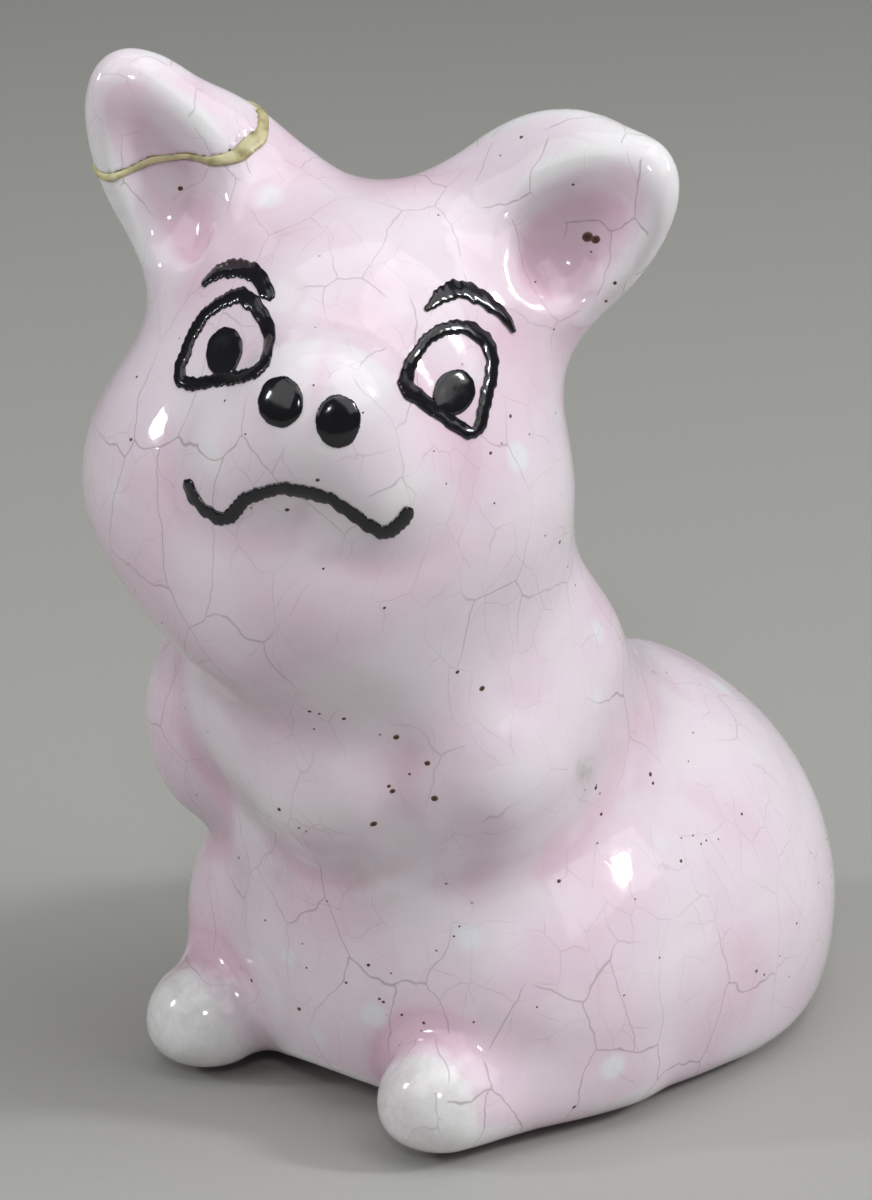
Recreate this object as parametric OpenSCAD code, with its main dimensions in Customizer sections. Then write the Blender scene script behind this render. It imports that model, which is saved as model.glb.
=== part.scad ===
// Sitting pig bank: a hollow glazed casting with painted features, a mended
// ear and a rubber stopper in its base. Millimetres, +Z up, the pig faces -Y,
// its own left is +X, and the origin is on the table under its middle.

/* [Casting] */
// Wall of the hollow casting
wall = 4; // [3:0.5:4.5]
// How far the head turns to the pig's left, in degrees
head_turn = 34; // [24:1:38]
// How far the head tips to the pig's left, in degrees
head_tip = 8; // [2:1:10]
// How far the face looks up, in degrees
head_lift = 12; // [6:1:16]
// How far the right ear leans out, in degrees
ear_lean_right = 40; // [34:1:44]
// How far the left ear leans out, in degrees
ear_lean_left = 45; // [36:1:48]

/* [Coin slot] */
// Length of the slot along the back
slot_len = 28; // [27:1:30]
// Width of the slot
slot_w = 4.4; // [4:0.2:5]
// Slope of the back at the slot, in degrees
slot_slope = 28; // [20:1:34]

/* [Base and stopper] */
// Diameter of the hole in the base
bore_d = 27; // [22:0.5:28]
// Diameter of the flat recess around the hole
recess_d = 35; // [33:0.5:37]
// Depth of that recess
recess_h = 2.4; // [2:0.2:3]
// Diameter of the stopper's flange
flange_d = 32; // [30:0.5:32.5]
// Gap all round between the plug and the hole
plug_gap = 0.3; // [0.3:0.05:0.5]
// Height of the plug above its flange
plug_h = 9; // [7:0.5:11]

// Outer diameter of the ring it stands on
ring_d = 41; // [40:0.5:42]
// How far that ring stands below the base
ring_h = 0.3; // [0.2:0.1:0.6]

/* [Mended ear] */
// Thickness of the glue in the break
glue_t = 0.5; // [0.4:0.1:0.8]
// How far the glue stands proud of the glaze
glue_proud = 0.3; // [0.2:0.05:0.5]
// Height of the break along the ear
break_z = 12.2; // [11:0.1:13]

/* [Painted enamel] */
// Height of a brush line above the glaze
paint_h = 0.25; // [0.15:0.05:0.35]
// How far the paint is rooted in the glaze
paint_root = 0.15; // [0.1:0.05:0.2]
// Width of a fine brush line
line_w = 1.1; // [0.9:0.1:1.3]

/* [Facets] */
// Step of the net over the outer skin
skin_step = 2.5; // [2.4:0.1:3]
// Step of the net over the hollow inside
hollow_step = 4.2; // [3.8:0.2:5]
// Step of the net over the ear fragment and the glue
ear_step = 1.4; // [1.2:0.1:2]

/* [Hidden] */
$fn = 64;
glaze_pink = "#ecdcdf";
enamel_black = "#141318";
glue_yellow = "#b7b183";
rubber_grey = "#6f6a63";

// ---- Frames -----------------------------------------------------------------
function turn_x(a) = [[1, 0, 0], [0, cos(a), -sin(a)], [0, sin(a), cos(a)]];
function turn_y(a) = [[cos(a), 0, sin(a)], [0, 1, 0], [-sin(a), 0, cos(a)]];
function turn_z(a) = [[cos(a), -sin(a), 0], [sin(a), cos(a), 0], [0, 0, 1]];

head_at = [-2, -18.5, 68.3];
head_m = turn_z(head_turn) * turn_x(-head_lift) * turn_y(head_tip);
function in_head(p) = (p - head_at) * head_m;
function from_head(q) = head_m * q + head_at;

// The ears' roots on the skull; side is -1 on the pig's right, +1 on its left
ear_toe = 14;
ear_back = 10;
function ear_root(side) = [side * 13, 2, 15];
ear_m_right = turn_z(ear_toe) * turn_y(-ear_lean_right) * turn_x(ear_back);
ear_m_left = turn_z(-ear_toe) * turn_y(ear_lean_left) * turn_x(ear_back);
function in_ear(q, side) = (q - ear_root(side)) * (side < 0 ? ear_m_right : ear_m_left);

// The plane of the break, in the right ear's frame
break_at = [0, 0, break_z];
break_n = [0.18, -0.4, 0.9] / norm([0.18, -0.4, 0.9]);
function above_break(p) = (in_ear(in_head(p), -1) - break_at) * break_n;

// ---- Soft masses, as signed distances ---------------------------------------
function join(a, b, k) = let (h = max(k - abs(a - b), 0) / k) min(a, b) - h * h * k / 4;
function carve(a, b, k) = -join(-a, b, k);
function egg(p, c, r) =
    let (q = p - c,
         a = [q.x / r.x, q.y / r.y, q.z / r.z],
         b = [a.x / r.x, a.y / r.y, a.z / r.z],
         n = norm(a))
    n * (n - 1) / max(norm(b), 0.000001);
function limb(p, a, b, ra, rb) =
    let (ab = b - a,
         t = max(0, min(1, (p - a) * ab / (ab * ab))))
    norm(p - a - t * ab) - ra - (rb - ra) * t;
// A pair of equal masses about the middle plane is one mass at |x|
function fold(p) = [abs(p.x), p.y, p.z];

function trunk(p) =
    let (f = fold(p),
         belly = egg(p, [0, -6.5, 19], [21, 20, 27]),
         rump = egg(p, [0, 12, 12], [29, 30, 28]),
         chest = egg(p, [0, -12.5, 39], [18, 15, 18]),
         withers = egg(p, [0, -3.5, 37], [18, 17, 18]),
         thigh = egg(f, [16.5, -3.5, 13], [11.5, 18, 15]))
    join(join(join(join(belly, rump, 10), chest, 8), withers, 8), thigh, 6);

// The forelegs are folded under the chin, towards the pig's left
function limbs(p, near) =
    let (f = fold(p),
         throat = egg(p, [3, -16.5, 47], [14, 12.5, 11]),
         left_foreleg = limb(p, [10, -6, 45.5], [13.2, -16, 38.5], 9.8, 9.2),
         right_elbow = egg(p, [-18, -17, 36], [8, 9, 12]),
         right_foreleg = limb(p, [-8.5, -19, 41], [3, -22.4, 37.3], 10.2, 10.2),
         foot = limb(f, [19, -5.5, 6], [15.6, -23.7, 5.2], 7.6, 6.1))
    join(join(join(join(join(near, throat, 5), left_foreleg, 5), right_elbow, 3.5),
        right_foreleg, 2.5), foot, 3);

function skull(q) =
    let (f = fold(q),
         crown = egg(q, [0.6, 1, 3], [19.2, 20, 20.5]),
         cheek = egg(f, [11.5, -1, -6], [12, 14, 12.5]),
         chin = egg(q, [0, -7, -13], [14, 13, 13]),
         m = fold(q - [0.8, 0, 0]),
         nose = limb(m, [0, -10, 3.5], [0, -18.4, 3.4], 8, 6),
         side = limb(m, [1.2, -17.6, 3], [5, -15.6, -1.4], 6.2, 6),
         lip = limb(m, [0, -18.2, -0.2], [5.6, -16.4, -2.6], 5.2, 5.2))
    join(join(join(crown, cheek, 8), chin, 9), join(join(nose, side, 5), lip, 5), 3);

function ear_right(e) =
    let (leaf = egg(e, [-0.5, 0, 8], [7.3, 4.8, 14.8]),
         root = egg(e, [4.2, 1, 2.6], [6.7, 5, 11.5]),
         cup = egg(e, [-3, -5.9, 9.5], [5.2, 4.9, 11]))
    carve(join(leaf, root, 4), cup, 3);

function ear_left(e) =
    let (leaf = egg(e, [-0.5, 0, 8.2], [7.9, 4.8, 14.8]),
         root = egg(e, [-5.5, 1, 6], [8, 5, 13]),
         cup = egg(e, [2, -5.4, 12.2], [5.8, 5.2, 8]))
    carve(join(leaf, root, 4), cup, 3);

// The whole skin: trunk and limbs, then the head, cut flat just above the table
// and arched between the feet
function skin(p) =
    let (q = in_head(p),
         body = limbs(p, trunk(p)),
         head = join(join(skull(q), ear_right(in_ear(q, -1)), 8), ear_left(in_ear(q, 1)), 8),
         arch = egg(p, [0, -22, -1], [9, 14, 4.5]))
    carve(carve(join(body, head, 8), p.z - ring_h, 4), arch, 2);

// The hollow follows the trunk and the skull, one wall further in
function hollow(p) =
    carve(join(trunk(p), skull(in_head(p)), 8) + wall, p.z - recess_h - wall, 3);

// The ear fragment and the glue end a little past the break, to be trimmed there
function fragment(p) = max(skin(p), -above_break(p) - 1.5);
function glue_round(p) = max(skin(p) - glue_proud, abs(above_break(p)) - 1.5);

function field(kind, p) =
    kind == "skin" ? skin(p)
    : kind == "hollow" ? hollow(p)
    : kind == "fragment" ? fragment(p)
    : glue_round(p);

// ---- A closed net over a mass -----------------------------------------------
// One vertex in each grid cell that the surface passes through, pulled onto the
// surface, and one face across each grid edge that it crosses.
module net(kind, low, high, step) {
    nx = ceil((high.x - low.x) / step) + 1;
    ny = ceil((high.y - low.y) / step) + 1;
    nz = ceil((high.z - low.z) / step) + 1;
    sx = 1;
    sy = nx;
    sz = nx * ny;
    count = nx * ny * nz;
    at = [for (k = [0 : nz - 1], j = [0 : ny - 1], i = [0 : nx - 1]) low + step * [i, j, k]];
    value = [for (p = at) field(kind, p)];
    corners = [0, sx, sy, sx + sy, sz, sx + sz, sy + sz, sx + sy + sz];
    cells = [for (k = [0 : nz - 2], j = [0 : ny - 2], i = [0 : nx - 2])
        let (c = i + j * sy + k * sz,
             inside = [for (o = corners) if (value[c + o] < 0) 1])
        if (len(inside) > 0 && len(inside) < 8) c];
    vertices = [for (c = cells)
        let (v = [for (o = corners) value[c + o]],
             mean = (v[0] + v[1] + v[2] + v[3] + v[4] + v[5] + v[6] + v[7]) / 8,
             g = [v[1] + v[3] + v[5] + v[7] - v[0] - v[2] - v[4] - v[6],
                  v[2] + v[3] + v[6] + v[7] - v[0] - v[1] - v[4] - v[5],
                  v[4] + v[5] + v[6] + v[7] - v[0] - v[1] - v[2] - v[3]] / (4 * step),
             pull = -mean * g / max(g * g, 0.05),
             reach = 0.48 * step)
        at[c] + step * [0.5, 0.5, 0.5]
            + [for (a = pull) max(-reach, min(reach, a))]];
    // The number of the vertex in each cell, in the order of the cells
    number = [for (c = 0, m = 0; c < count; m = m + (cells[m] == c ? 1 : 0), c = c + 1) m];
    faces = [for (c = cells, e = [[sx, sy, sz], [sy, sz, sx], [sz, sx, sy]])
        let (here = value[c] < 0,
             there = value[c + e[0]] < 0)
        if (here != there)
            let (a = number[c], b = number[c - e[1]],
                 d = number[c - e[1] - e[2]], f = number[c - e[2]])
            each here ? [[a, d, b], [a, f, d]] : [[a, b, d], [a, d, f]]];
    polyhedron(vertices, faces, convexity = 8);
}

// ---- Brush strokes on the face ----------------------------------------------
// The point of the skin straight behind (x, z) of the face, and its outward
// direction, both in the head's frame
function drop(x, z, y = -34, n = 26) =
    n == 0 ? [x, y, z] : drop(x, z, y + 0.85 * skin(from_head([x, y, z])), n - 1);
function facing(q, e = 0.3) =
    let (g = [for (d = [[e, 0, 0], [0, e, 0], [0, 0, e]])
            skin(from_head(q + d)) - skin(from_head(q - d))])
    g / norm(g);

// A smooth curve through hand-set points, each [x, z, line width]
function smooth_at(a, b, c, d, t) =
    (2 * b + (c - a) * t + (2 * a - 5 * b + 4 * c - d) * t * t
        + (3 * b - a - 3 * c + d) * t * t * t) / 2;
function smooth(pts, closed, parts) =
    let (n = len(pts),
         last = closed ? n - 1 : n - 2)
    [for (i = [0 : last], s = [0 : parts - 1])
        let (a = closed ? pts[(i + n - 1) % n] : pts[max(i - 1, 0)],
             d = closed ? pts[(i + 2) % n] : pts[min(i + 2, n - 1)])
        smooth_at(a, pts[i], pts[(i + 1) % n], d, s / parts),
     if (!closed) pts[n - 1]];

// Lays a flattened bead along a stroke: two edges rooted in the glaze, two
// shoulders above it and one point below
module stroke(pts, closed = false, parts = 3) {
    path = smooth(pts, closed, parts);
    n = len(path);
    rows = [for (i = [0 : n - 1])
        let (before = path[closed ? (i + n - 1) % n : max(i - 1, 0)],
             after = path[closed ? (i + 1) % n : min(i + 1, n - 1)],
             q = drop(path[i][0], path[i][1]),
             up = facing(q),
             along = [after[0] - before[0], 0, after[1] - before[1]],
             flat = along - (along * up) * up,
             side = cross(up, flat / norm(flat)) * path[i][2] / 2)
        for (s = [[-1, -paint_root], [-0.6, paint_h], [0.6, paint_h],
                  [1, -paint_root], [0, -1.6 * paint_root]])
            from_head(q + s[0] * side + s[1] * up)];
    faces = [for (i = [0 : closed ? n - 1 : n - 2], j = [0 : 4])
        let (a = i * 5 + j, b = i * 5 + (j + 1) % 5,
             c = ((i + 1) % n) * 5 + j, d = ((i + 1) % n) * 5 + (j + 1) % 5)
        each [[a, b, d], [a, d, c]]];
    ends = closed ? [] : [
        for (j = [1 : 3]) [0, j + 1, j],
        for (j = [1 : 3]) [(n - 1) * 5, (n - 1) * 5 + j, (n - 1) * 5 + j + 1]];
    polyhedron(rows, concat(faces, ends), convexity = 6);
}

// A domed oval of paint at (x, z) of the face
module dot(x, z, w, h, lean = 0, sides = 18) {
    function rim(share, lift) = [for (i = [0 : sides - 1])
        let (a = 360 * i / sides,
             u = share * w / 2 * cos(a), v = share * h / 2 * sin(a),
             q = drop(x + u * cos(lean) - v * sin(lean), z + u * sin(lean) + v * cos(lean)))
        from_head(q + lift * facing(q))];
    middle = drop(x, z);
    up = facing(middle);
    points = concat(rim(1, -paint_root), rim(0.86, paint_h),
        [from_head(middle + 1.3 * paint_h * up), from_head(middle - 2 * paint_root * up)]);
    faces = [for (i = [0 : sides - 1])
        let (j = (i + 1) % sides)
        each [[i, sides + i, sides + j], [i, sides + j, j],
              [sides + i, 2 * sides, sides + j], [j, 2 * sides + 1, i]]];
    polyhedron(points, faces, convexity = 4);
}

// ---- Solids placed in the right ear's frame ---------------------------------
module in_right_ear() {
    translate(head_at) rotate([0, 0, head_turn]) rotate([-head_lift, 0, 0]) rotate([0, head_tip, 0])
        translate(ear_root(-1)) rotate([0, 0, ear_toe]) rotate([0, -ear_lean_right, 0])
            rotate([ear_back, 0, 0]) children();
}

// A block on the tip's side of the break, from the given height above it
block = 44;
module past_break(from, thick = block) {
    in_right_ear() translate(break_at)
        rotate([0, acos(break_n.z), atan2(break_n.y, break_n.x)])
            translate([-block / 2, -block / 2, from]) cube([block, block, thick]);
}
ear_low = [-36, -46, 84];
ear_high = [-4, -8, 108];

// ---- Tail -------------------------------------------------------------------
tail_at = [0, 39.9, 20];
tail_slope = 18;
tail_r = 3.4;
tail_thick = 3.2;
tail_turn = 290;

// A curl pressed flat on the rump, sunk to half its thickness
module tail() {
    translate(tail_at) rotate([tail_slope - 90, 0, 0]) rotate([0, 0, 60])
        rotate_extrude(angle = tail_turn) translate([tail_r, 0]) circle(d = tail_thick, $fn = 24);
}

// ---- Openings ---------------------------------------------------------------
slot_at = [0, 22.5, 39];
bore_at = [0, 12, 0];

module coin_slot() {
    translate(slot_at) rotate([-slot_slope, 0, 0]) {
        translate([-slot_w / 2, (slot_w - slot_len) / 2, -14]) cube([slot_w, slot_len - slot_w, 34]);
        for (end = [-1, 1])
            translate([0, end * (slot_len - slot_w) / 2, -14]) cylinder(d = slot_w, h = 34);
    }
}

module base_hole() {
    translate(bore_at + [0, 0, -1]) cylinder(d = bore_d, h = recess_h + wall + 6);
    translate(bore_at + [0, 0, -1]) cylinder(d = recess_d, h = recess_h + 1);
}

// The ring round the base hole that the pig stands on
module foot_ring() {
    translate(bore_at) cylinder(d = ring_d, h = ring_h + wall / 2, $fn = 72);
}

// ---- Parts ------------------------------------------------------------------
module body_shell() {
    color(glaze_pink) difference() {
        union() {
            net("skin", [-33.5, -45, -3.4], [33, 48, 109], skin_step);
            tail();
            foot_ring();
        }
        net("hollow", [-28, -38, 3], [28, 42, 92], hollow_step);
        coin_slot();
        base_hole();
        past_break(-glue_t / 2);
    }
}

module ear_tip_right() {
    color(glaze_pink) intersection() {
        net("fragment", ear_low, ear_high, ear_step);
        past_break(glue_t / 2);
    }
}

module glue_seam() {
    color(glue_yellow) intersection() {
        net("glue", ear_low, ear_high, ear_step);
        past_break(-glue_t / 2, glue_t);
    }
}

// A turned rubber plug with two sealing ribs and a bar to pull it by
flange_z = 0.7;
flange_t = 1.6;
rib_out = 0.15;
grip_w = 5;
module base_stopper() {
    plug_r = bore_d / 2 - plug_gap;
    top = flange_z + flange_t + plug_h;
    color(rubber_grey) translate(bore_at) difference() {
        rotate_extrude($fn = 72) polygon([
            [0, flange_z], [flange_d / 2 - 0.6, flange_z], [flange_d / 2, flange_z + 0.6],
            [flange_d / 2, flange_z + flange_t - 0.2], [flange_d / 2 - 0.2, flange_z + flange_t],
            [plug_r, flange_z + flange_t],
            for (z = [2.2, 5.2]) each [[plug_r, flange_z + flange_t + z],
                [plug_r + rib_out, flange_z + flange_t + z + 0.6],
                [plug_r, flange_z + flange_t + z + 1.2]],
            [plug_r, top - 1.4], [plug_r - 1.4, top], [0, top]]);
        for (side = [-1, 1])
            translate([0, side * (grip_w / 2 + 6), flange_z - 1]) intersection() {
                cylinder(r = 11, h = 6);
                translate([-12, -6, 0]) cube([24, 12, 6]);
                translate([0, -side * (grip_w / 2 + 6), 0]) cylinder(r = 11, h = 6);
            }
    }
}

module brow_right() {
    color(enamel_black) stroke([[-13.4, 12.3, 0.7], [-12, 13.7, 1.3], [-10, 14.4, 1.5],
        [-8, 14.1, 1.5], [-6.4, 12.7, 1.2]]);
}

module brow_left() {
    color(enamel_black) stroke([[8.3, 13.9, 0.7], [9.4, 15.3, 1.4], [10.6, 15.9, 1.5],
        [12.6, 15.4, 1.2], [14.9, 14, 0.8], [15.9, 12.8, 0.5]]);
}

module eye_outline_right() {
    color(enamel_black) stroke([[-13.2, 3.3, line_w], [-13.4, 6.6, line_w], [-12.2, 9.8, line_w],
        [-9.3, 12, 1.3 * line_w], [-7.2, 11.2, 1.3 * line_w], [-5.4, 9.4, line_w],
        [-5, 6.4, line_w], [-8.8, 4.5, line_w]], closed = true);
}

module eye_outline_left() {
    color(enamel_black) stroke([[8.2, 6.8, line_w], [8.1, 9.3, line_w], [9.2, 11.5, line_w],
        [11.3, 12.6, line_w], [13.3, 12, line_w], [14.6, 10.2, line_w], [14.9, 7, line_w],
        [14.5, 3.3, line_w], [11.4, 4.7, line_w]], closed = true);
}

module pupil_right() {
    color(enamel_black) dot(-9.5, 6.8, 3.6, 4.4);
}

module pupil_left() {
    color(enamel_black) dot(12.1, 6.7, 3.4, 4);
}

module nostril_right() {
    color(enamel_black) dot(-2.3, 3.9, 4.2, 4.4, lean = 10);
}

module nostril_left() {
    color(enamel_black) dot(3.2, 3.1, 3.8, 4.6, lean = 10);
}

module mouth_line() {
    color(enamel_black) stroke([[-10.3, -5.6, 1.1], [-9.3, -7, 1.1], [-7, -8, 1.2],
        [-5.6, -7.4, 1.3], [-4.8, -6, 1.1], [-3.4, -5, 1.1], [-1, -4, 1.1], [1.6, -4, 1.2],
        [3.4, -4.2, 1.1], [5.6, -5.3, 1.2], [8, -6.5, 1.2], [9.3, -6.1, 1.1],
        [10.4, -4.4, 1]]);
}

body_shell();
ear_tip_right();
glue_seam();
base_stopper();
brow_right();
brow_left();
eye_outline_right();
eye_outline_left();
pupil_right();
pupil_left();
nostril_right();
nostril_left();
mouth_line();
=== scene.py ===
import math

import bpy
import numpy as np
from bpy.props import FloatProperty, FloatVectorProperty, IntProperty, PointerProperty
from mathutils import Matrix, Vector, noise


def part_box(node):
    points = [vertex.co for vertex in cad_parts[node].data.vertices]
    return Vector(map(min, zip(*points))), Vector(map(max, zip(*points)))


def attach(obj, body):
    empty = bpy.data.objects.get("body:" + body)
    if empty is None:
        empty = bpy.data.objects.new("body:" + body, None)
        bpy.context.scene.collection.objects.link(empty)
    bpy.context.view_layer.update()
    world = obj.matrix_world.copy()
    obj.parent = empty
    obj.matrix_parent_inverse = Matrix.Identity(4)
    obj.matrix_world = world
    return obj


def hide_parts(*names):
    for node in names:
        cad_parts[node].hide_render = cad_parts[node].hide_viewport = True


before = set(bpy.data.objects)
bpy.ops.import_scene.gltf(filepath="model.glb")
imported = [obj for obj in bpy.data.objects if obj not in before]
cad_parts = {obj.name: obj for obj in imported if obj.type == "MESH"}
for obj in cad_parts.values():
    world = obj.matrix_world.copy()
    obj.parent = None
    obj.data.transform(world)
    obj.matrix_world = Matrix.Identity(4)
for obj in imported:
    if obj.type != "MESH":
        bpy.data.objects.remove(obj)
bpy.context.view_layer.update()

bl_info = {
    "name": "Sitting Pig Bank",
    "version": (1, 0, 0),
    "blender": (4, 5, 0),
    "location": "3D View > Sidebar > Pig Bank",
    "description": "Builds a glazed earthenware pig bank with a mended ear and a painted face",
    "category": "Add Mesh",
}

MM = 0.001
BANK = "bank"
STOPPER = "stopper"


def linear(hex_colour):
    """Turns an sRGB hex colour into the linear values that shaders read."""
    parts = [int(hex_colour[i : i + 2], 16) / 255 for i in (1, 3, 5)]
    return [c / 12.92 if c <= 0.04045 else ((c + 0.055) / 1.055) ** 2.4 for c in parts]


# ---- Settings ---------------------------------------------------------------
class CastingSettings(bpy.types.PropertyGroup):
    """Sizes of the hollow casting, as the frame has them"""

    head_turn: FloatProperty(
        name="Head turn",
        description="How far the head turns to the pig's left",
        default=math.radians(34),
        subtype="ANGLE",
    )
    head_tip: FloatProperty(
        name="Head tip",
        description="How far the head tips to the pig's left",
        default=math.radians(8),
        subtype="ANGLE",
    )
    head_lift: FloatProperty(
        name="Head lift",
        description="How far the face looks up",
        default=math.radians(12),
        subtype="ANGLE",
    )
    wall: FloatProperty(
        name="Wall",
        description="Thickness of the casting",
        default=4 * MM,
        unit="LENGTH",
    )
    slot_length: FloatProperty(
        name="Slot length",
        description="Length of the coin slot along the back",
        default=28 * MM,
        unit="LENGTH",
    )
    slot_width: FloatProperty(
        name="Slot width",
        description="Width of the coin slot",
        default=4.4 * MM,
        unit="LENGTH",
    )
    base_hole: FloatProperty(
        name="Base hole",
        description="Diameter of the hole in the base",
        default=27 * MM,
        unit="LENGTH",
    )
    base_recess: FloatProperty(
        name="Base recess",
        description="Diameter of the recess round the base hole",
        default=35 * MM,
        unit="LENGTH",
    )
    ring: FloatProperty(
        name="Foot ring",
        description="Outer diameter of the ring that it stands on",
        default=41 * MM,
        unit="LENGTH",
    )
    ring_height: FloatProperty(
        name="Foot ring height",
        description="How far that ring stands below the base",
        default=0.3 * MM,
        unit="LENGTH",
    )
    net: FloatProperty(
        name="Net",
        description="Spacing of the casting's surface points",
        default=0.7 * MM,
        unit="LENGTH",
    )
    ripple: FloatProperty(
        name="Ripple",
        description="Height of the slow waves in the glaze",
        default=0.09 * MM,
        unit="LENGTH",
    )


class GlazeSettings(bpy.types.PropertyGroup):
    """Colours of the glaze, clay and glue"""

    thin: FloatVectorProperty(
        name="Thin glaze",
        description="Colour where the glaze ran off the ridges",
        default=linear("#ebeaec"),
        subtype="COLOR",
    )
    body: FloatVectorProperty(
        name="Body glaze",
        description="Colour of the glaze on open surfaces",
        default=linear("#e8dae5"),
        subtype="COLOR",
    )
    pooled: FloatVectorProperty(
        name="Pooled glaze",
        description="Colour where the glaze gathered in hollows",
        default=linear("#dfc0d1"),
        subtype="COLOR",
    )
    clay: FloatVectorProperty(
        name="Bare clay",
        description="Colour of the unglazed earthenware",
        default=linear("#d8cabb"),
        subtype="COLOR",
    )
    glue: FloatVectorProperty(
        name="Glue",
        description="Colour of the aged adhesive",
        default=linear("#c9c39a"),
        subtype="COLOR",
    )
    crack_spacing: FloatProperty(
        name="Crack spacing",
        description="Mean distance between craze lines",
        default=7.5 * MM,
        unit="LENGTH",
    )


class PaintSettings(bpy.types.PropertyGroup):
    """The brushed enamel of the face"""

    colour: FloatVectorProperty(
        name="Enamel",
        description="Colour of the enamel",
        default=linear("#0c0b10"),
        subtype="COLOR",
    )
    height: FloatProperty(
        name="Height",
        description="How far a brush line stands above the glaze",
        default=0.26 * MM,
        unit="LENGTH",
    )
    net: FloatProperty(
        name="Net",
        description="Spacing of the enamel's surface points",
        default=0.15 * MM,
        unit="LENGTH",
    )


class SpeckSettings(bpy.types.PropertyGroup):
    """Iron specks and pinholes in the glaze"""

    density: FloatProperty(
        name="Density",
        description="Specks per square centimetre where they are thickest",
        default=12.0,
    )
    smallest: FloatProperty(
        name="Smallest",
        description="Radius of the smallest speck",
        default=0.11 * MM,
        unit="LENGTH",
    )
    largest: FloatProperty(
        name="Largest",
        description="Radius of the largest scattered speck",
        default=0.24 * MM,
        unit="LENGTH",
    )
    seed: IntProperty(name="Seed", description="Which scatter of specks", default=7)


class StudioSettings(bpy.types.PropertyGroup):
    """Camera, lights and floor"""

    azimuth: FloatProperty(
        name="Azimuth",
        description="Camera angle round from the pig's front to its left",
        default=math.radians(41),
        subtype="ANGLE",
    )
    elevation: FloatProperty(
        name="Elevation",
        description="Camera angle above the table",
        default=math.radians(18),
        subtype="ANGLE",
    )
    distance: FloatProperty(
        name="Distance",
        description="Distance from the camera to the pig",
        default=0.43,
        unit="LENGTH",
    )
    lens: FloatProperty(
        name="Lens",
        description="Focal length in millimetres",
        default=136.7,
    )
    floor: FloatVectorProperty(
        name="Floor",
        description="Colour of the floor and backdrop",
        default=linear("#a9a9a5"),
        subtype="COLOR",
    )


# ---- Soft masses, as signed distances in millimetres ------------------------
# A point set is an (n, 3) array. Below zero is inside. Frames and places are
# the frame's own: +Z up, the pig faces -Y and its left is +X.
def turn_x(angle):
    return np.array(Matrix.Rotation(angle, 3, "X"))


def turn_y(angle):
    return np.array(Matrix.Rotation(angle, 3, "Y"))


def turn_z(angle):
    return np.array(Matrix.Rotation(angle, 3, "Z"))


def join(a, b, soft):
    """Two masses run together over a width."""
    h = np.maximum(soft - np.abs(a - b), 0) / soft
    return np.minimum(a, b) - h * h * soft / 4


def carve(a, b, soft):
    """The first mass with the second taken out of it."""
    return -join(-a, b, soft)


def egg(p, centre, radii):
    q = p - np.array(centre, float)
    r = np.array(radii, float)
    a = q / r
    near = np.sqrt((a * a).sum(1))
    slope = np.sqrt(((a / r) ** 2).sum(1))
    return near * (near - 1) / np.maximum(slope, 1e-9)


def limb(p, a, b, radius_a, radius_b):
    a = np.array(a, float)
    along = np.array(b, float) - a
    t = np.clip((p - a) @ along / (along @ along), 0, 1)
    near = np.sqrt(((p - a - t[:, None] * along) ** 2).sum(1))
    return near - radius_a - (radius_b - radius_a) * t


def fold(p):
    """Both sides of a pair are one mass at |x|."""
    q = p.copy()
    q[:, 0] = np.abs(q[:, 0])
    return q


# Places and angles of the masses, in millimetres and radians
HEAD_AT = np.array([-2, -18.5, 68.3])
EAR_ROOT = {side: np.array([side * 13, 2, 15]) for side in (-1, 1)}
EAR_TOE = math.radians(14)
EAR_BACK = math.radians(10)
EAR_LEAN = {-1: math.radians(40), 1: math.radians(45)}
BREAK_Z = 12.2
BREAK_NORMAL = np.array([0.18, -0.4, 0.9]) / np.linalg.norm([0.18, -0.4, 0.9])
SLOT_AT = np.array([0, 22.5, 39])
SLOT_SLOPE = math.radians(28)
BORE_AT = np.array([0, 12, 0])
RECESS_DEPTH = 2.4
# Half of the gap that the glue fills, and the height of the break's roughness
BREAK_GAP = 0.2
BREAK_ROUGH = 0.18


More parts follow.
